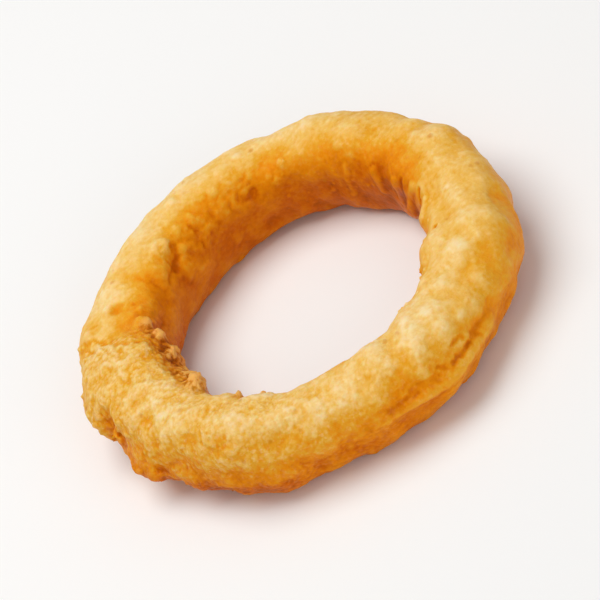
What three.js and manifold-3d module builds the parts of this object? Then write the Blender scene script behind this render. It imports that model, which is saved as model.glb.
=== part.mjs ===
// One battered, deep-fried onion ring, lying flat on its lower face.
// Millimetres, +Z up. The origin is at the middle of the ring, on the surface that it rests on.
//
// The batter is one closed skin round a slice of onion that it hides all over. A place on it has two angles:
// "round" goes round the ring, counter-clockwise from +X, and "side" goes round the wall: 0 is the outer rim,
// 90 the top, 180 the wall of the hole and 270 the underside. Both are in degrees.

import * as THREE from "three";
import { ImprovedNoise } from "three/addons/math/ImprovedNoise.js";
import { mergeVertices } from "three/addons/utils/BufferGeometryUtils.js";
import Module from "manifold-3d";

// The ring.
const MIDDLE_RADIUS = 31.2; // from the ring's axis to the middle of its wall
const WALL_WIDTH = 13.8; // from the hole to the outer rim
const WALL_HEIGHT = 15.8; // before the underside is flattened
const OVAL = { share: 0.012, at: 10 }; // the ring is this much longer in this direction
const WIDER = { share: 0.12, at: 158 }; // the wall is wider here and opposite, and narrower between
const HEAVIER = { share: 0.05, at: 190 }; // the batter ran together on this side
const RIM_POWER = 2.25; // the wall's outer half: 2 is an ellipse, more is boxier
const HOLE_POWER = 2.9; // its inner half, which follows the flat wall of the onion
const REST_DEPTH = 0.4; // how far the underside's lowest parts are pressed flat
const THICKER = { at: 62, reach: 110, side: 55, spread: 50, height: 2.1 }; // more batter, high on the rim

// The mesh.
const ROUND_STEPS = 148;
const SIDE_STEPS = 32;
const MERGE_DISTANCE = 1e-4;

// The batter's relief.
const SWELL = { size: 15, height: 1.5 }; // slow swelling of the whole wall
const PUFFS = { count: 170, smallest: 2.4, largest: 5.2, height: 1.05 }; // bubbles that set as pillows
const GRAIN = { size: 3.3, height: 0.7 }; // small uneven grain between them
const ROUGH_GRAIN = { size: 4.0, height: 0.8 }; // craggy batter on the rough stretch
const SUNK = 0.4; // how far the whole relief is let in, so that it averages out
const ROUGH = { at: 205, reach: 62 }; // the rough stretch, centred here and this long each way
const SMOOTH = { at: 110, reach: 65 }; // the smoothest stretch, where the puffs lie lowest
const STEP = { round: 166, width: 4, height: 0.8, reach: 45 }; // where the rough coat of batter starts

// A fold of batter that ran down the rim and set: a lip with a groove above it.
const FOLD = { from: -93, to: -44, side: 4, drop: 10, lip: 1.0, groove: 0.8, width: 11 };

// Single bulges and hollows, as wide as twice their radius.
const BULGES = [
  { round: 179, side: 18, radius: 6.0, height: 1.2 },
  { round: -166, side: 24, radius: 3.0, height: -1.3 },
  { round: -158, side: -8, radius: 4.5, height: 1.0 },
  { round: 151, side: 92, radius: 2.6, height: -0.7 },
  { round: 127, side: 142, radius: 3.2, height: -0.8 },
  { round: 86, side: 134, radius: 2.2, height: -0.7 },
  { round: -128, side: -14, radius: 13.0, height: 1.2 },
  { round: -22, side: 60, radius: 7.0, height: 0.6 },
  { round: -62, side: 96, radius: 6.0, height: 0.7 },
  { round: -44, side: 60, radius: 4.0, height: -0.6 },
  { round: -22, side: 4, radius: 8.0, height: 1.3 },
  { round: -28, side: 146, radius: 6.0, height: 1.5 },
];

// Lumps of loose batter that fried on. They stand on the skin, sunk into it.
const BIG_CRUMBS = [
  { round: -152, side: 139, length: 5.6, width: 4.8, height: 7.0 },
  { round: -162, side: 150, length: 4.2, width: 3.8, height: 4.6 },
  { round: 162, side: 128, length: 4.4, width: 3.8, height: 3.8 },
  { round: 169, side: 143, length: 3.8, width: 3.2, height: 3.2 },
  { round: 177, side: 157, length: 4.0, width: 3.4, height: 3.4 },
  { round: -174, side: 167, length: 3.4, width: 3.2, height: 3.0 },
  { round: -172, side: 10, length: 7.0, width: 5.6, height: 2.6 },
  { round: -157, side: -10, length: 6.4, width: 5.0, height: 2.4 },
  { round: -141, side: -16, length: 6.0, width: 4.4, height: 2.2 },
  { round: 124, side: 113, length: 4.4, width: 3.4, height: 1.6 },
  { round: 11, side: 174, length: 2.6, width: 4.4, height: 2.6 },
];
const LITTLE_CRUMBS = [
  { round: -130, side: 130, length: 2.4, width: 2.0, height: 3.8 },
  { round: -121, side: 136, length: 2.4, width: 2.0, height: 3.0 },
  { round: 73, side: 137, length: 2.4, width: 2.2, height: 1.6 },
  { round: 68, side: 116, length: 2.6, width: 2.2, height: 1.6 },
  { round: -37, side: 146, length: 2.8, width: 2.0, height: 2.2 },
  { round: 170, side: 76, length: 2.6, width: 2.0, height: 1.9 },
  { round: -179, side: 144, length: 2.8, width: 2.6, height: 2.8 },
];
const STRAY_CRUMBS = { count: 9, smallest: 2.2, largest: 3.4, flatness: 0.75 };
const CRUMB_SUNK = 0.15; // how far its middle lies under the skin, as a share of its height
const CRUMB_UNEVEN = 0.5; // how lumpy a crumb is, as a share of its size
const UNDERSIDE = { from: 215, to: 325 }; // no crumb is set here, where the ring rests

const SEED = 7;

const rad = THREE.MathUtils.degToRad;
const { smoothstep, clamp, lerp } = THREE.MathUtils;
const noise = new ImprovedNoise();

// A repeatable random number from low to high.
THREE.MathUtils.seededRandom(SEED);
function random(low, high) {
  return lerp(low, high, THREE.MathUtils.seededRandom());
}

// The angle from b to a, in degrees, from -180 to 180.
function turn(a, b) {
  return THREE.MathUtils.euclideanModulo(a - b + 180, 360) - 180;
}

// 1 in the middle of a stretch of the ring, falling to 0 at its reach.
function within(stretch, round) {
  return 1 - smoothstep(Math.abs(turn(round, stretch.at)), 0.35 * stretch.reach, stretch.reach);
}

// Noise from -1 to 1 whose bumps are about this size, at a point.
function bumps(point, size, shift) {
  return noise.noise(point.x / size + shift, point.y / size - shift, point.z / size + 2 * shift);
}

// The bare wall's surface, before any relief. Its underside is level all the way round.
function wallPoint(round, side) {
  const angle = rad(round);
  const across = Math.cos(rad(side));
  const up = Math.sin(rad(side));
  const heavier = 1 + HEAVIER.share * Math.cos(rad(turn(round, HEAVIER.at)));
  const wider = 1 + WIDER.share * Math.cos(2 * rad(turn(round, WIDER.at)));
  const halfWidth = 0.5 * WALL_WIDTH * wider * heavier;
  const halfHeight = 0.5 * WALL_HEIGHT * heavier;
  const power = lerp(HOLE_POWER, RIM_POWER, smoothstep(across, -0.6, 0.6));
  const reach =
    (Math.abs(across / halfWidth) ** power + Math.abs(up / halfHeight) ** power) ** (-1 / power);
  const middle = MIDDLE_RADIUS * (1 + OVAL.share * Math.cos(2 * rad(turn(round, OVAL.at))));
  const radius = middle + reach * across;
  const height = reach * up + halfHeight - 0.5 * WALL_HEIGHT;
  return new THREE.Vector3(radius * Math.cos(angle), radius * Math.sin(angle), height);
}

// The direction straight out of the bare wall.
function wallNormal(round, side) {
  const nudge = 0.5;
  const alongRing = wallPoint(round + nudge, side).sub(wallPoint(round - nudge, side));
  const roundWall = wallPoint(round, side + nudge).sub(wallPoint(round, side - nudge));
  return alongRing.cross(roundWall).normalize();
}

// Bubbles in the batter that puffed up and set, scattered over the whole wall.
function scatterPuffs() {
  const puffs = [];
  for (let i = 0; i < PUFFS.count; i += 1) {
    const round = random(-180, 180);
    const radius = random(PUFFS.smallest, PUFFS.largest);
    const calm = 1 - 0.55 * within(SMOOTH, round);
    puffs.push({
      middle: wallPoint(round, random(0, 360)),
      radius,
      height: PUFFS.height * calm * random(0.35, 1) * (radius / PUFFS.largest) ** 0.5,
    });
  }
  return puffs;
}
const puffs = scatterPuffs();

// The highest puff at a point. Puffs that meet leave a crease between them.
function puffHeight(point) {
  let height = 0;
  for (const puff of puffs) {
    const share = point.distanceTo(puff.middle) / puff.radius;
    if (share < 1) height = Math.max(height, puff.height * (1 - share * share));
  }
  return height;
}

// The named bulges and hollows at a point, each a smooth dome.
const domes = BULGES.map((place) => ({ ...place, middle: wallPoint(place.round, place.side) }));
function bulgeHeight(point) {
  return domes.reduce((sum, dome) => {
    const share = point.distanceTo(dome.middle) / dome.radius;
    return share < 1 ? sum + dome.height * (1 - share * share) ** 2 : sum;
  }, 0);
}

// The fold's lip, and the groove on its upper side.
function foldHeight(round, side) {
  const along = (round - FOLD.from) / (FOLD.to - FOLD.from);
  if (along <= 0 || along >= 1) return 0;
  const fade = Math.sin(Math.PI * along) ** 0.5;
  const wander = 3 * Math.sin(rad(9 * round));
  const offset = turn(side, FOLD.side - FOLD.drop * along + wander) / FOLD.width;
  const lip = FOLD.lip * Math.exp(-offset * offset);
  const groove = FOLD.groove * Math.exp(-((offset - 1.6) ** 2) * 2.5);
  return fade * (lip - groove);
}

// How far the batter stands out from the bare wall.
function relief(point, round, side) {
  const rough = within(ROUGH, round);
  const topSide = smoothstep(Math.sin(rad(side)), -0.3, 0.5);
  const start = smoothstep(turn(round, STEP.round), 0, STEP.width);
  const crags = 1 - 2 * Math.abs(bumps(point, ROUGH_GRAIN.size, 5));
  const thicker = within(THICKER, round) * Math.exp(-((turn(side, THICKER.side) / THICKER.spread) ** 2));
  return (
    THICKER.height * thicker +
    SWELL.height * bumps(point, SWELL.size, 1) +
    puffHeight(point) +
    GRAIN.height * bumps(point, GRAIN.size, 3) +
    ROUGH_GRAIN.height * rough * (crags - 0.5) +
    STEP.height * start * within({ at: STEP.round, reach: STEP.reach }, round) * topSide +
    bulgeHeight(point) +
    foldHeight(round, side) -
    SUNK
  );
}

// A closed geometry's shared vertices are merged, with nothing but positions left.
function closed(geometry) {
  const bare = geometry.clone();
  bare.deleteAttribute("normal");
  bare.deleteAttribute("uv");
  return mergeVertices(bare, MERGE_DISTANCE);
}

// The battered wall: a torus whose points are moved onto the wall and out by the relief.
function batteredWall() {
  const wall = closed(new THREE.TorusGeometry(MIDDLE_RADIUS, 1, SIDE_STEPS, ROUND_STEPS));
  const points = wall.getAttribute("position");
  for (let i = 0; i < points.count; i += 1) {
    const start = new THREE.Vector3().fromBufferAttribute(points, i);
    const outward = Math.hypot(start.x, start.y) - MIDDLE_RADIUS;
    const round = THREE.MathUtils.radToDeg(Math.atan2(start.y, start.x));
    const side = THREE.MathUtils.radToDeg(Math.atan2(start.z, outward));
    const point = wallPoint(round, side);
    point.addScaledVector(wallNormal(round, side), relief(point, round, side));
    point.z = Math.max(point.z, -0.5 * WALL_HEIGHT + REST_DEPTH);
    points.setXYZ(i, point.x, point.y, point.z);
  }
  return wall;
}

// One crumb: a lumpy pebble sunk in the skin, its length along the ring.
function crumb({ round, side, length, width, height }, pebble, shift) {
  const skin = wallPoint(round, side);
  const normal = wallNormal(round, side);
  const along = wallPoint(round + 1, side).sub(wallPoint(round - 1, side)).normalize();
  const across = new THREE.Vector3().crossVectors(normal, along);
  const rise = relief(skin, round, side) - CRUMB_SUNK * height;
  const middle = skin.clone().addScaledVector(normal, rise);
  const placed = new THREE.Matrix4()
    .makeBasis(along, across, normal)
    .setPosition(middle)
    .scale(new THREE.Vector3(0.5 * length, 0.5 * width, 0.5 * height));
  const lump = closed(pebble);
  const points = lump.getAttribute("position");
  for (let i = 0; i < points.count; i += 1) {
    const point = new THREE.Vector3().fromBufferAttribute(points, i);
    point.multiplyScalar(1 + CRUMB_UNEVEN * bumps(point, 0.9, shift)).applyMatrix4(placed);
    points.setXYZ(i, point.x, point.y, point.z);
  }
  return lump;
}

// Stray crumbs on the rough stretch, and none underneath.
function scatterCrumbs() {
  const crumbs = [];
  while (crumbs.length < STRAY_CRUMBS.count) {
    const round = random(-180, 180);
    const side = random(0, 360);
    const size = random(STRAY_CRUMBS.smallest, STRAY_CRUMBS.largest);
    const underneath = side > UNDERSIDE.from && side < UNDERSIDE.to;
    if (underneath || random(0, 1) > within(ROUGH, round)) continue;
    const height = size * STRAY_CRUMBS.flatness;
    crumbs.push({ round, side, length: size * random(1, 1.6), width: size, height });
  }
  return crumbs;
}

const wasm = await Module();
wasm.setup();

function solidOf(geometry) {
  return new wasm.Manifold(
    new wasm.Mesh({
      numProp: 3,
      vertProperties: geometry.getAttribute("position").array,
      triVerts: new Uint32Array(geometry.index.array),
    }),
  );
}

function geometryOf(solid) {
  const mesh = solid.getMesh();
  return new THREE.BufferGeometry()
    .setAttribute("position", new THREE.BufferAttribute(new Float32Array(mesh.vertProperties), 3))
    .setIndex(new THREE.BufferAttribute(new Uint32Array(mesh.triVerts), 1));
}

// The wall and its crumbs as one solid, with the origin under its middle.
function onionRing() {
  let ring = solidOf(batteredWall());
  const big = new THREE.IcosahedronGeometry(1, 1);
  const little = new THREE.OctahedronGeometry(1, 1);
  BIG_CRUMBS.forEach((place, i) => {
    ring = ring.add(solidOf(crumb(place, big, i)));
  });
  [...LITTLE_CRUMBS, ...scatterCrumbs()].forEach((place, i) => {
    ring = ring.add(solidOf(crumb(place, little, i)));
  });
  const geometry = geometryOf(ring);
  geometry.computeBoundingBox();
  const { min, max } = geometry.boundingBox;
  geometry.translate(-0.5 * (min.x + max.x), -0.5 * (min.y + max.y), -min.z);
  geometry.computeVertexNormals();
  const batter = new THREE.MeshStandardMaterial({ color: 0xe0a04a, roughness: 0.5, metalness: 0 });
  const mesh = new THREE.Mesh(geometry, batter);
  mesh.name = "onion_ring";
  return mesh;
}

const part = new THREE.Group();
part.add(onionRing());

export default part;
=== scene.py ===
"""One battered onion ring, fried golden, lying flat on a plain pale floor."""

import math

import bmesh
import bpy
import numpy as np
from mathutils import Matrix, Vector, noise


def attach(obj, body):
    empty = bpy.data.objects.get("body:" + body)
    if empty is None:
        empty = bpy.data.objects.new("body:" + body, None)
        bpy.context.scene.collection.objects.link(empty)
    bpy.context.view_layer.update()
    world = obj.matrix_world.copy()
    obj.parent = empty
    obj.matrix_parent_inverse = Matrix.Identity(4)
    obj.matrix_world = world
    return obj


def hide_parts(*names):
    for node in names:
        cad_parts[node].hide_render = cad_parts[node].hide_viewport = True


MM = 0.001

# The ring in the CAD's frame.
RING_AXIS = Vector((0.48, -0.36, 7.8)) * MM  # the middle of its wall's circle
MIDDLE_RADIUS = 31.2 * MM
HALF_WALL = 7.4 * MM

# The finished skin.
VOXEL = 0.385 * MM
SMOOTHING = 4
CALM_PASSES = 25  # neighbour averaging that takes the solid's facets and lumps away
CREASE_PASSES = 5  # the same, to find fine creases
HOLLOW_PASSES = 61  # and wider hollows
LUMP_LEVEL = 0.45  # lumps() above this raises the skin, and below it lowers it

# The camera looks down on the ring as the photo's camera does.
ELEVATION = 40.0
ROLL = 32.0
DISTANCE = 0.620
FIELD = 0.1004  # the width that the frame takes in at the ring
SENSOR = 36
FLOOR_HALF = 1.5
LIGHT_DISTANCE = 0.6

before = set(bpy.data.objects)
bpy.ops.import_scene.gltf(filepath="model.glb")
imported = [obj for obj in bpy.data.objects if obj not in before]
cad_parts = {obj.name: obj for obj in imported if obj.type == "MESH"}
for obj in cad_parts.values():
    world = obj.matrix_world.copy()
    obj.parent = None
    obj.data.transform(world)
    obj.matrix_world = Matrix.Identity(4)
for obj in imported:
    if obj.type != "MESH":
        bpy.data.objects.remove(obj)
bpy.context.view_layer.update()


# ---- The skin ------------------------------------------------------------------------------------------


def remeshed(node):
    """A fine even copy of a CAD node's mesh, as a new object."""
    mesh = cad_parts[node].data.copy()
    bm = bmesh.new()
    bm.from_mesh(mesh)
    bmesh.ops.remove_doubles(bm, verts=bm.verts, dist=0.002 * MM)
    bm.to_mesh(mesh)
    bm.free()
    obj = bpy.data.objects.new("batter_skin", mesh)
    bpy.context.collection.objects.link(obj)
    remesh = obj.modifiers.new("remesh", "REMESH")
    remesh.mode = "VOXEL"
    remesh.voxel_size = VOXEL
    smooth = obj.modifiers.new("smooth", "SMOOTH")
    smooth.factor = 0.5
    smooth.iterations = SMOOTHING
    fine = bpy.data.meshes.new_from_object(obj.evaluated_get(bpy.context.evaluated_depsgraph_get()))
    obj.modifiers.clear()
    obj.data = fine
    return obj


def points_of(mesh):
    """The places of a mesh's vertices, one row each."""
    out = np.empty(len(mesh.vertices) * 3)
    mesh.vertices.foreach_get("co", out)
    return out.reshape(-1, 3)


def normals_of(mesh):
    """The outward directions at a mesh's vertices, one row each."""
    out = np.empty(len(mesh.vertices) * 3)
    mesh.vertex_normals.foreach_get("vector", out)
    return out.reshape(-1, 3)


def edges_of(mesh):
    """The two vertices of each of a mesh's edges, one row each."""
    out = np.empty(len(mesh.edges) * 2, dtype=np.int32)
    mesh.edges.foreach_get("vertices", out)
    return out.reshape(-1, 2)


def blurred(values, edges, passes):
    """Values on the vertices, each averaged with its neighbours this many times."""
    count = len(values)
    ends = np.concatenate([edges[:, 0], edges[:, 1]])
    others = np.concatenate([edges[:, 1], edges[:, 0]])
    degree = np.bincount(ends, minlength=count)
    out = values.astype(float).copy()
    for _ in range(passes):
        columns = out.reshape(count, -1)
        means = [np.bincount(ends, weights=c[others], minlength=count) / degree for c in columns.T]
        out = (0.4 * columns + 0.6 * np.stack(means, axis=1)).reshape(out.shape)
    return out


def lumps(points, size, seed, octaves=2):
    """Rounded lumps of this size with sharp creases between them, from 0 in a crease to about 1."""
    shift = Vector((7.3 * seed, 3.1 * seed, 5.7 * seed))
    scaled = points / size
    return np.array([noise.turbulence(Vector(p) + shift, octaves, True) for p in scaled])


def swells(points, size, seed, octaves=2):
    """Smooth uneven ground of this size, about -1 to 1."""
    shift = Vector((4.9 * seed, 8.3 * seed, 2.9 * seed))
    scaled = points / size
    return np.array([noise.fractal(Vector(p) + shift, 1.0, 2.1, octaves) for p in scaled])


def bubbles(points, size, seed):
    """Small domes, scattered about this far apart and of uneven sizes, from 0 to 1."""
    shift = Vector((2.3 * seed, 6.1 * seed, 9.7 * seed))
    out = np.empty(len(points))
    for i, p in enumerate(points / size):
        distances, middles = noise.voronoi(Vector(p) + shift)
        radius = 0.3 + 0.14 * min(max(noise.cell(middles[0] * 7.7), -1), 1)
        share = min(distances[0] / radius, 1)
        out[i] = (1 - share * share) ** 2
    return out


def smoothstep(x, low, high):
    """0 up to the low value, 1 from the high one on, and a soft rise between them."""
    t = np.clip((x - low) / (high - low), 0, 1)
    return t * t * (3 - 2 * t)


def round_and_side(points):
    """The angle round the ring and the angle round its wall, in degrees, as the CAD counts them."""
    d = points - np.array(RING_AXIS)
    outward = np.hypot(d[:, 0], d[:, 1]) - MIDDLE_RADIUS
    return np.degrees(np.arctan2(d[:, 1], d[:, 0])), np.degrees(np.arctan2(d[:, 2], outward))


def turn(a, b):
    """The angle from b to a in degrees, from -180 to 180."""
    return (a - b + 180) % 360 - 180


def along(table, round_):
    """A value that changes round the ring, from its values at some angles."""
    angles = sorted(table)
    return np.interp(round_, angles, [table[a] for a in angles], period=360)


def near_line(places, width, points, round_, side):
    """How near the skin lies to a line through these places round the ring and round its wall.

    It is 1 on the line and falls to 0 this many millimetres away. A single place makes a round spot.
    """
    out = np.zeros(len(points))
    reach = np.hypot(points[:, 0] - RING_AXIS.x, points[:, 1] - RING_AXIS.y)
    ends = list(zip(places, places[1:])) or [(places[0], places[0])]
    for (r0, s0), (r1, s1) in ends:
        u = np.radians(turn(round_, r0)) * reach
        v = np.radians(turn(side, s0)) * HALF_WALL
        du = math.radians(turn(r1, r0)) * MIDDLE_RADIUS
        dv = math.radians(turn(s1, s0)) * HALF_WALL
        share = np.clip((u * du + v * dv) / max(du * du + dv * dv, 1e-12), 0, 1)
        away = np.hypot(u - share * du, v - share * dv) / (width * MM)
        out = np.maximum(out, (1 - np.clip(away, 0, 1) ** 2) ** 2)
    return out


# How craggy the batter is round the ring.
CRAGGY = {
    -180: 1.0,
    -150: 1.0,
    -118: 0.75,
    -95: 0.45,
    -60: 0.2,
    -20: 0.12,
    30: 0.2,
    60: 0.2,
    100: 0.08,
    140: 0.1,
    163: 0.15,
    167: 0.95,
}
# How far the solid's lumps have sunk back into a smooth coat.
CALM = {
    -180: 0.5,
    -150: 0.55,
    -110: 0.65,
    -60: 0.6,
    -20: 0.6,
    30: 0.75,
    100: 0.8,
    140: 0.75,
    160: 0.6,
}

# Marks set in the batter: how far each stands out in millimetres, how wide it is from its middle line to its
# edge, how much browner it is coloured, how ragged it is, and the places (round the ring, round the wall)
# that its line runs through. The browner colour is fried browning on the flat patches and the fold, painted
# shade in the sunken marks, and part painted shade on the rim by the floor; below 0, on raised marks and the
# pale high spots, it is a painted highlight.
MARKS = [
    # the creases where the craggy coat starts
    (-0.16, 1.1, 0.06, 1.8, [(161, 48), (161, 60), (166, 86), (172, 102), (176, 120)]),
    (-0.14, 0.9, 0.06, 1.8, [(166, 56), (168.5, 68), (175, 84)]),
    (0.22, 1.4, -0.02, 1.0, [(164, 62), (170, 86), (177, 100)]),
    # a soft dimple
    (-0.30, 1.9, 0.12, 0.5, [(151.5, 92)]),
    # a fold in the hole's wall, darkened as painted shade, its lip, and the small ridge beside it
    (-0.22, 1.0, 0.09, 0.5, [(121, 128), (123, 138), (127, 150)]),
    (0.45, 3.2, -0.04, 0.3, [(125, 112), (131, 128), (136, 146)]),
    (0.22, 1.4, -0.02, 0.4, [(119, 140), (123, 156), (125, 168)]),
    (0.30, 1.8, 0.0, 0.4, [(108, 124), (106, 142), (110, 160)]),
    (-0.12, 0.9, 0.09, 0.7, [(111, 128), (110, 136)]),
    (-0.10, 0.9, 0.08, 0.6, [(106, 152)]),
    # a burst bubble, and pimples beside it
    (0.35, 1.6, -0.02, 0.5, [(86, 133)]),
    (-0.16, 0.9, 0.08, 1.0, [(90, 134), (88, 141), (84, 140)]),
    (0.30, 1.2, -0.03, 0.7, [(72.5, 138)]),
    (0.28, 1.1, -0.03, 0.7, [(69.5, 118)]),
    (0.22, 1.0, -0.03, 0.7, [(76, 128)]),
    # runs of batter down the hole's wall, with painted shade in the grooves between them
    (0.55, 1.4, -0.05, 0.4, [(5.5, 132), (8, 150), (9, 184)]),
    (-0.35, 0.7, 0.14, 0.4, [(0.5, 126), (-1, 145), (0, 170)]),
    (0.40, 1.1, 0.0, 0.4, [(-5, 130), (-9, 144), (-8, 165)]),
    (0.35, 1.2, 0.0, 0.4, [(18, 140), (19, 185)]),
    (-0.25, 0.7, 0.12, 0.4, [(13.5, 134), (14, 170)]),
    (0.30, 1.1, 0.0, 0.4, [(31, 138), (30, 180)]),
    (0.25, 1.0, 0.0, 0.4, [(44, 138), (45, 190)]),
    (-0.45, 0.7, 0.30, 0.5, [(-22, 122)]),
    # the fold: browner batter, its smooth lip, and thin cracks over it
    (0.0, 6.0, 0.05, 0.5, [(-86, 4), (-72, 8), (-62, 12), (-52, 0)]),
    (0.25, 1.8, 0.0, 0.3, [(-84, 1), (-75, -2), (-67.5, -4), (-58, -4), (-48, -6)]),
    (0.30, 1.7, -0.04, 0.4, [(-84, 24), (-76, 20), (-70, 20), (-64, 18), (-58, 16)]),
    (-0.25, 0.8, 0.08, 0.7, [(-66, 9), (-62, 7), (-58.5, 7)]),
    (-0.20, 0.8, 0.08, 0.8, [(-63, 27), (-60.5, 25), (-59, 20)]),
    (-0.14, 0.7, 0.08, 0.6, [(-56, 3), (-55, -3)]),
    (-0.22, 1.1, 0.09, 0.8, [(-69.5, 20), (-68, 13)]),
    (-0.20, 1.0, 0.08, 0.8, [(-78.5, 22), (-78, 12)]),
    (-0.14, 1.1, 0.08, 0.8, [(-78, 36)]),
    (0.40, 2.0, -0.02, 0.4, [(-73.5, 28)]),
    # pale high spots: painted highlights on slight swellings
    (0.15, 2.2, -0.07, 1.0, [(-78.5, 66)]),
    (0.15, 2.8, -0.06, 1.0, [(-101, 56), (-97, 60)]),
    (0.15, 2.4, -0.06, 0.8, [(-67, 92), (-60, 90)]),
    (0.12, 2.4, -0.05, 0.8, [(-42, 88), (-34, 86)]),
    (0.10, 2.8, -0.06, 1.0, [(-157, 90), (-150, 84)]),
    # browner patches on the outer side, and painted shade on the wall beside the crumbs
    (0.0, 2.8, 0.06, 0.8, [(-46, 42), (-36, 50), (-22, 62)]),
    (0.0, 2.4, 0.07, 0.8, [(-171, 112), (-166, 127)]),
    (0.0, 2.4, 0.06, 0.8, [(-90, 45)]),
    # the notch in the rim, between two lumps
    (-2.0, 3.2, 0.05, 0.3, [(-171.5, 30), (-170.5, 4)]),
    (0.50, 1.8, 0.02, 0.6, [(-178, 22)]),
    (0.40, 1.5, 0.08, 0.6, [(-163, 4), (-158, -3)]),
    # the rim along the floor: browner, partly toasting and partly painted shade, with a pale lip as a painted
    # highlight
    (0.0, 3.6, 0.15, 0.4, [(-166, -4), (-151, -12), (-133, -20), (-118, -24)]),
    (0.40, 1.3, -0.07, 1.0, [(-170, 0), (-161, -5), (-152, -9), (-144, -12)]),
    (-0.05, 2.8, 0.25, 0.5, [(-156, -16), (-142, -20), (-128, -26), (-114, -36)]),
]
# Loose crumbs that fried to a rusty brown: where each stands, and how far from there it reaches.
RUSTY = [
    (164, 133, 1.9),
    (169, 141, 2.6),
    (177, 155, 2.8),
    (-174, 165, 2.6),
    (-179, 143, 2.2),
    (-162, 148, 3.2),
    (-152, 138, 4.0),
    (-130, 130, 1.8),
    (-121, 136, 1.6),
]

ring = remeshed("onion_ring")
mesh = ring.data
edges = edges_of(mesh)
base = points_of(mesh)
round_, side = round_and_side(base)
craggy = along(CRAGGY, round_)

# The solid's own lumps sink back, less at the fold and not at all on the crumbs.
smooth = blurred(base, edges, CALM_PASSES)
on_crumb = smoothstep(np.linalg.norm(base - smooth, axis=1), 0.2 * MM, 0.42 * MM)
fold = near_line([(-93, 18), (-70, 14), (-44, 8)], 5.0, base, round_, side)
calm = (along(CALM, round_) * (1 - on_crumb) * (1 - 0.6 * fold))[:, None]
base = (1 - calm) * base + calm * smooth
mesh.vertices.foreach_set("co", base.ravel())
mesh.update()

warp = np.stack([swells(base, 3.0 * MM, k) for k in (11, 12, 13)], axis=1) * 0.8 * MM
nubs = lumps(base + warp, 1.6 * MM, 1)
crags = lumps(base + warp, 4.0 * MM, 2, 3)
rolling = swells(base, 6.5 * MM, 3, 2)
fine = swells(base, 0.9 * MM, 4, 2)
patchy = 0.4 + 0.6 * smoothstep(swells(base, 6.0 * MM, 5, 1), -0.3, 0.4)  # the nubs are higher in places


def region(round_at, round_fade, side_at, side_fade):
    """1 in a patch of the skin, and a soft fall to 0 round it.

    Its middle is at an angle round the ring and one round the wall. Each fade gives how many degrees from
    there the patch ends, and within how many it is full.
    """
    by_round = smoothstep(-np.abs(turn(round_, round_at)), -round_fade[0], -round_fade[1])
    return by_round * smoothstep(-np.abs(turn(side, side_at)), -side_fade[0], -side_fade[1])


grainy = region(50, (38, 20), 165, (32, 15))  # fine pimples on the hole's wall
littered = region(-176, (34, 18), 152, (34, 14))  # where the loose crumbs lie
outer_edge = region(175, (28, 14), 24, (50, 24))  # the bumpy outer side where the craggy coat starts
hole_wall = region(113, (46, 26), 132, (34, 16))  # the wrinkled wall across the hole from the fold
inner_edge = region(-35, (45, 20), 138, (22, 8))  # small bumps on the near limb's edge to the hole

# What shakes the marks' lines, and what breaks them up.
jitter = np.stack([swells(base, 1.7 * MM, k, 2) for k in (14, 15, 16)], axis=1) * 0.75 * MM
broken = smoothstep(swells(base, 1.9 * MM, 17, 1), -0.45, 0.1)

# How far the skin moves out, in millimetres.
lift = (
    0.26 * craggy * patchy * (nubs - LUMP_LEVEL)
    + 0.19 * craggy * (crags - LUMP_LEVEL)
    + 0.28 * rolling
    + (0.055 + 0.035 * craggy) * fine
    + 0.22 * bubbles(base + 0.5 * warp, 5.0 * MM, 6)
    + 0.10 * bubbles(base + 0.5 * warp, 2.2 * MM, 7) * craggy
    + 0.26 * bubbles(base + 0.3 * warp, 1.3 * MM, 8) * craggy * patchy
    + 0.35 * bubbles(base + 0.3 * warp, 1.6 * MM, 9) * inner_edge
    + 0.55 * bubbles(base + 0.3 * warp, 2.1 * MM, 19) * outer_edge
    + 0.60 * (lumps(base + 1.4 * warp, 5.2 * MM, 21) - LUMP_LEVEL) * hole_wall
    + 0.22 * bubbles(base + 0.3 * warp, 1.3 * MM, 10) * grainy
    + 0.55 * bubbles(base + 0.4 * warp, 2.5 * MM, 18) * littered
    + (0.15 * (nubs - LUMP_LEVEL) + 0.10 * fine) * littered
)
marked_brown_and_shading = np.zeros(len(base))
for height, width, brown, ragged, places in MARKS:
    shaken = base + ragged * jitter
    mark = near_line(places, width, shaken, *round_and_side(shaken)) * (1 - 0.65 * ragged * (1 - broken))
    lift += height * mark
    marked_brown_and_shading += brown * mark
# The relief is shallower near the floor, and nothing sinks into it.
above_floor = smoothstep(base[:, 2], 0.1 * MM, 1.2 * MM)
lift = lift * (0.25 + 0.75 * above_floor)
skin = base + normals_of(mesh) * (lift * MM)[:, None]
skin[:, 2] = np.maximum(skin[:, 2], 0.0)
mesh.vertices.foreach_set("co", skin.ravel())
mesh.update()
mesh.polygons.foreach_set("use_smooth", np.ones(len(mesh.polygons), dtype=bool))


# ---- What colours the skin -----------------------------------------------------------------------------


def attribute(name, values):
    """Give each vertex a value that the material reads by this name."""
    layer = mesh.attributes.new(name, "FLOAT", "POINT")
    layer.data.foreach_set("value", np.asarray(values, dtype=np.float32))


normals = normals_of(mesh)
# How far the skin lies below its surroundings, close by and farther off, in millimetres.
below_close = ((blurred(skin, edges, CREASE_PASSES) - skin) * normals).sum(axis=1) / MM
below_far = ((blurred(skin, edges, HOLLOW_PASSES) - skin) * normals).sum(axis=1) / MM
crease = np.clip(below_close / 0.06, -1, 1)
hollow = np.clip(below_far / 0.38, -1, 1)

# The material darkens the colour where these are high, as painted shade in creases and hollows, and pales it
# on the bumps as a painted highlight.
attribute("crease", crease)
attribute("hollow", hollow)
attribute("craggy", craggy)
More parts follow.
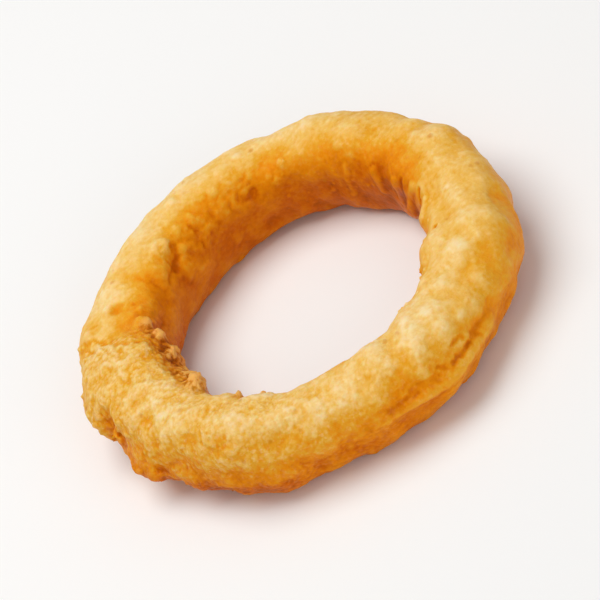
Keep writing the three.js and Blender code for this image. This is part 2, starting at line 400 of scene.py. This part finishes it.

# How brown the batter is coloured round the wall: palest on top, brown below. This is part fried browning
# and part painted light: the top is paler, and the sides turned from the light are darker as painted shade.
# The hole's wall at the back is brown high up, much of it painted shade, and on the other limb the pale top
# reaches over into the hole as painted light.
BROWN_AND_SHADE_BACK = {
    -180: 0.68, -150: 0.76, -90: 0.74, -50: 0.72, -20: 0.62, 0: 0.50,
    20: 0.37, 45: 0.23, 70: 0.14, 88: 0.16, 105: 0.31, 120: 0.47,
    135: 0.57, 155: 0.66,
}
BROWN_AND_SHADE_FRONT = {
    -180: 0.66, -150: 0.74, -90: 0.72, -50: 0.63, -20: 0.52, 0: 0.455,
    20: 0.39, 40: 0.28, 60: 0.17, 80: 0.10, 115: 0.09, 130: 0.18,
    150: 0.40,
}
# Which side of the ring is the near one: 1 at the front, 0 at the back.
FRONT = {-165: 1.0, -10: 1.0, 15: 0.0, 170: 0.0}
# More or less of it round the ring.
BROWN_BY_ROUND = {
    -180: 0.08, -150: 0.10, -120: 0.07, -90: 0.06, -60: 0.03, -40: 0.04,
    -10: 0.10, 25: 0.13, 60: 0.03, 110: -0.02, 150: 0.0,
}
front = along(FRONT, round_)
brown_and_shade_by_side = front * along(BROWN_AND_SHADE_FRONT, side) + (1 - front) * along(BROWN_AND_SHADE_BACK, side)
rusty = np.max([near_line([(r, s)], reach, base, round_, side) for r, s, reach in RUSTY], axis=0)
# The browned value holds fried browning together with painted shade and painted highlights from the tables
# and marks above.
attribute("browned_and_shading", brown_and_shade_by_side + along(BROWN_BY_ROUND, round_) + marked_brown_and_shading)
attribute("crumbs", np.clip(0.25 * littered + 1.2 * rusty + 0.35 * littered * on_crumb, 0, 1))


# ---- Materials -----------------------------------------------------------------------------------------


class Nodes:
    """A material's node tree, with a short call for each kind of node."""

    def __init__(self, name):
        self.material = bpy.data.materials.new(name)
        self.material.use_nodes = True
        self.tree = self.material.node_tree
        self.shader = self.tree.nodes["Principled BSDF"]
        self.where = self.tree.nodes.new("ShaderNodeTexCoord").outputs["Object"]

    def link(self, source, target):
        self.tree.links.new(source, target)

    def fill(self, socket, value):
        if hasattr(value, "is_linked"):
            self.link(value, socket)
        else:
            socket.default_value = value

    def attribute(self, name):
        node = self.tree.nodes.new("ShaderNodeAttribute")
        node.attribute_name = name
        return node.outputs["Fac"]

    def noise(self, size, detail=3.0, roughness=0.55, distortion=0.0):
        node = self.tree.nodes.new("ShaderNodeTexNoise")
        self.link(self.where, node.inputs["Vector"])
        node.inputs["Scale"].default_value = 1 / size
        node.inputs["Detail"].default_value = detail
        node.inputs["Roughness"].default_value = roughness
        node.inputs["Distortion"].default_value = distortion
        return node.outputs["Fac"]

    def spots(self, size):
        node = self.tree.nodes.new("ShaderNodeTexVoronoi")
        self.link(self.where, node.inputs["Vector"])
        node.inputs["Scale"].default_value = 1 / size
        return node.outputs["Distance"], node.outputs["Color"]

    def math(self, operation, a, b):
        node = self.tree.nodes.new("ShaderNodeMath")
        node.operation = operation
        self.fill(node.inputs[0], a)
        self.fill(node.inputs[1], b)
        return node.outputs[0]

    def add(self, *terms):
        out = terms[0]
        for term in terms[1:]:
            out = self.math("ADD", out, term)
        return out

    def times(self, a, b):
        return self.math("MULTIPLY", a, b)

    def spread(self, value, low, high, to_low=0.0, to_high=1.0):
        node = self.tree.nodes.new("ShaderNodeMapRange")
        node.interpolation_type = "SMOOTHSTEP"
        self.fill(node.inputs["Value"], value)
        node.inputs["From Min"].default_value = low
        node.inputs["From Max"].default_value = high
        node.inputs["To Min"].default_value = to_low
        node.inputs["To Max"].default_value = to_high
        return node.outputs["Result"]

    def ramp(self, value, stops):
        node = self.tree.nodes.new("ShaderNodeValToRGB")
        self.fill(node.inputs["Fac"], value)
        elements = node.color_ramp.elements
        while len(elements) < len(stops):
            elements.new(0.5)
        for element, (place, color) in zip(elements, stops):
            element.position = place
            element.color = (*color, 1)
        return node.outputs["Color"]

    def mix(self, share, a, b):
        node = self.tree.nodes.new("ShaderNodeMix")
        node.data_type = "RGBA"
        self.fill(node.inputs["Factor"], share)
        self.fill(node.inputs[6], a)
        self.fill(node.inputs[7], b)
        return node.outputs[2]

    def bump(self, height, distance, normal=None):
        node = self.tree.nodes.new("ShaderNodeBump")
        node.inputs["Strength"].default_value = 1.0
        node.inputs["Distance"].default_value = distance
        self.link(height, node.inputs["Height"])
        if normal is not None:
            self.link(normal, node.inputs["Normal"])
        return node.outputs["Normal"]


def batter_material():
    """Golden batter, browner where it fried longest, with rusty crumbs and a fine, uneven surface.

    Its colour also holds painted shade on the sides turned from the light and in creases and hollows, and
    painted highlights on the tops and pale glints.
    """
    n = Nodes("fried_batter")
    crease = n.attribute("crease")
    hollow = n.attribute("hollow")
    browned_and_shading = n.attribute("browned_and_shading")
    broad = n.noise(12 * MM, 2)
    patch = n.noise(5.0 * MM, 2, 0.5)
    speckle = n.noise(0.8 * MM, 4, 0.65)

    craggy = n.attribute("craggy")
    # How brown each place is coloured, from what the skin carries (fried browning with painted shade and
    # painted highlights), uneven patches and specks, and painted shade in the creases and hollows, with
    # painted highlights on the bumps.
    browned_and_shading = n.add(
        browned_and_shading,
        n.times(n.spread(broad, 0.3, 0.7, -1, 1), 0.05),
        n.times(n.spread(patch, 0.25, 0.75, -1, 1), 0.055),
        n.times(n.spread(speckle, 0.25, 0.75, -1, 1), n.spread(craggy, 0, 1, 0.045, 0.078)),
        n.times(crease, 0.10),
        n.times(hollow, 0.11),
    )
    color = n.ramp(
        n.add(0.15, n.times(browned_and_shading, 0.85)),
        [
            (0.0, (0.91, 0.74, 0.44)),
            (0.15, (0.89, 0.64, 0.28)),
            (0.28, (0.845, 0.51, 0.12)),
            (0.42, (0.79, 0.375, 0.025)),
            (0.575, (0.79, 0.265, 0.003)),
            (0.79, (0.62, 0.135, 0.0)),
            (1.0, (0.38, 0.07, 0.0)),
        ],
    )
    # The colour of the loose crumbs, with painted shade in the creases and hollows between them.
    grit_and_shade = n.ramp(
        n.add(
            0.36,
            n.times(n.spread(speckle, 0.25, 0.75, -1, 1), 0.20),
            n.times(crease, 0.25),
            n.times(hollow, 0.40),
        ),
        [
            (0.0, (0.83, 0.42, 0.10)),
            (0.3, (0.66, 0.215, 0.015)),
            (0.65, (0.42, 0.10, 0.003)),
            (1.0, (0.20, 0.035, 0.0)),
        ],
    )
    # Pale glints painted on as highlights, most of them on the craggy stretch and where the colour is palest.
    painted_glints = n.times(n.spread(n.noise(0.75 * MM, 2, 0.5), 0.52, 0.66), n.spread(browned_and_shading, 0.2, 0.5, 1, 0.25))
    color = n.mix(n.times(painted_glints, n.spread(craggy, 0, 1, 0.08, 0.32)), color, (0.92, 0.68, 0.38, 1))
    color = n.mix(n.times(n.attribute("crumbs"), 0.9), color, grit_and_shade)
    # Scattered specks that fried darker.
    distance, pick = n.spots(2.6 * MM)
    chosen = n.spread(pick, 0.5, 0.85)
    specks = n.times(n.spread(n.add(distance, n.times(speckle, 0.6)), 0.36, 0.56, 1, 0), chosen)
    color = n.mix(n.times(specks, 0.6), color, (0.62, 0.20, 0.0, 1))
    n.link(color, n.shader.inputs["Base Color"])

    rough = n.spread(patch, 0.3, 0.75, 0.36, 0.6)
    n.link(rough, n.shader.inputs["Roughness"])
    wrinkles = n.noise(0.55 * MM, 4, 0.6)
    pores = n.noise(1.3 * MM, 3, 0.6, 0.6)
    normal = n.bump(n.times(pores, n.spread(craggy, 0, 1, 0.45, 1)), 0.36 * MM)
    normal = n.bump(n.times(wrinkles, n.spread(craggy, 0, 1, 0.45, 1)), 0.20 * MM, normal)
    n.link(normal, n.shader.inputs["Normal"])
    n.shader.inputs["Subsurface Weight"].default_value = 0.4
    n.shader.inputs["Subsurface Radius"].default_value = (1.0, 0.4, 0.1)
    n.shader.inputs["Subsurface Scale"].default_value = 1.1 * MM
    n.shader.inputs["Specular IOR Level"].default_value = 0.18
    n.shader.inputs["Specular Tint"].default_value = (1.0, 0.55, 0.15, 1)
    n.shader.inputs["IOR"].default_value = 1.42
    return n.material


def floor_material():
    """Plain, pale and matt."""
    n = Nodes("floor")
    n.shader.inputs["Base Color"].default_value = (0.90, 0.90, 0.90, 1)
    n.shader.inputs["Roughness"].default_value = 0.9
    n.shader.inputs["Specular IOR Level"].default_value = 0.1
    return n.material


mesh.materials.clear()
mesh.materials.append(batter_material())
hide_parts("onion_ring")
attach(ring, "root")


# ---- Floor, light and camera ---------------------------------------------------------------------------


def flat_floor():
    """The plain floor that the ring lies on."""
    half = FLOOR_HALF
    plane = bpy.data.meshes.new("floor")
    corners = [(-half, -half, 0), (half, -half, 0), (half, half, 0), (-half, half, 0)]
    plane.from_pydata(corners, [], [(0, 1, 2, 3)])
    plane.materials.append(floor_material())
    obj = bpy.data.objects.new("floor", plane)
    bpy.context.collection.objects.link(obj)


def soft_light(name, towards, size, watts, color=(1, 1, 1)):
    """A round area light that stands in this direction from the ring and shines on it."""
    light = bpy.data.lights.new(name, "AREA")
    light.shape = "DISK"
    light.size = size
    light.energy = watts
    light.color = color
    obj = bpy.data.objects.new(name, light)
    bpy.context.collection.objects.link(obj)
    obj.location = RING_AXIS + towards.normalized() * LIGHT_DISTANCE
    obj.rotation_euler = towards.to_track_quat("Z", "Y").to_euler()


def camera():
    """The camera, and its right, up and backward directions."""
    tilt, roll = math.radians(ELEVATION), math.radians(ROLL)
    back = Vector((0, -math.cos(tilt), math.sin(tilt)))
    level = Vector((1, 0, 0))
    rise = Vector((0, math.sin(tilt), math.cos(tilt)))
    right = level * math.cos(roll) - rise * math.sin(roll)
    up = level * math.sin(roll) + rise * math.cos(roll)
    data = bpy.data.cameras.new("camera")
    data.sensor_width = SENSOR
    data.lens = SENSOR * DISTANCE / FIELD
    data.clip_start = 0.01
    obj = bpy.data.objects.new("camera", data)
    bpy.context.collection.objects.link(obj)
    turned = Matrix((right, up, back)).transposed().to_4x4()
    obj.matrix_world = Matrix.Translation(RING_AXIS + back * DISTANCE) @ turned
    bpy.context.scene.camera = obj
    return right, up, back


flat_floor()
right, up, back = camera()
soft_light("key", 0.75 * up + 0.60 * back - 0.85 * right, 0.55, 2.8, (1, 0.985, 0.96))
soft_light("fill", -0.35 * up + 1.0 * back + 0.6 * right, 0.7, 1.6)

world = bpy.data.worlds.new("world")
world.use_nodes = True
world.node_tree.nodes["Background"].inputs["Color"].default_value = (1, 1, 1, 1)
world.node_tree.nodes["Background"].inputs["Strength"].default_value = 0.38
bpy.context.scene.world = world
bpy.context.scene.view_settings.view_transform = "Standard"
bpy.context.scene.view_settings.look = "None"
